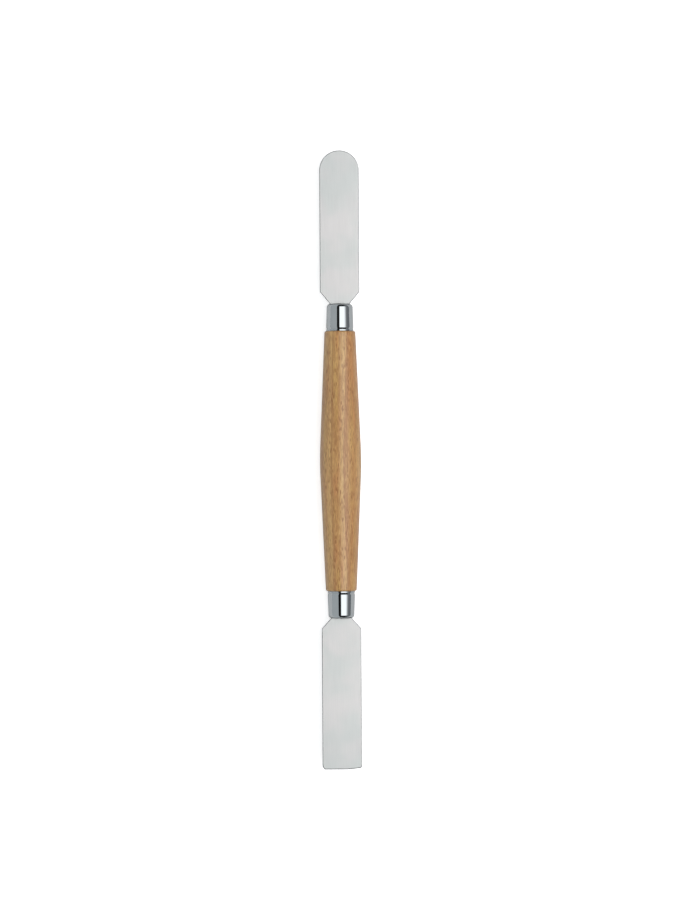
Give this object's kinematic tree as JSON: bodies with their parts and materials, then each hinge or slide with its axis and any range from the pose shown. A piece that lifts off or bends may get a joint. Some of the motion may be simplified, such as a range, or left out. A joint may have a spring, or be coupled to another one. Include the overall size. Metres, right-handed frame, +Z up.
{
  "type": "palette knife",
  "caption": "Double-ended palette knife: turned wooden handle, metal ferrules, and flexible steel blades, one round-tipped and one square-tipped.",
  "frame": {"origin": "middle of the bounding box's base, on the surface that the knife lies on, under the crown of the handle", "axes": "+Y along the knife, towards the round tip; +Z up, square to the blades' flat faces; +X across the blades"},
  "size_m": [0.016, 0.24, 0.016],
  "materials": {
    "beech": "fine straight beech grain, smooth, thin clear oil",
    "chrome": "bright chrome plate",
    "spring_steel": "fine satin polish, brightened edges",
    "adhesive": "set epoxy resin, amber"
  },
  "bodies": {
    "handle_assembly": {"handle": "beech", "round_ferrule": "chrome", "square_ferrule": "chrome", "round_blade_tang": "spring_steel", "square_blade_tang": "spring_steel", "round_tang_adhesive": "adhesive", "square_tang_adhesive": "adhesive"},
    "round_blade": {"round_blade": "spring_steel"},
    "square_blade": {"square_blade": "spring_steel"}
  },
  "joints": [
    {"name": "round_blade_flex", "type": "hinge", "parent": "handle_assembly", "child": "round_blade", "pos_m": [0, 0.0608, 0.008], "axis": [1, 0, 0], "range_deg": [-20, 20], "stiffness_Nm_per_rad": 2.8},
    {"name": "square_blade_flex", "type": "hinge", "parent": "handle_assembly", "child": "square_blade", "pos_m": [0, -0.0617, 0.008], "axis": [-1, 0, 0], "range_deg": [-20, 20], "stiffness_Nm_per_rad": 2.9}
  ]
}
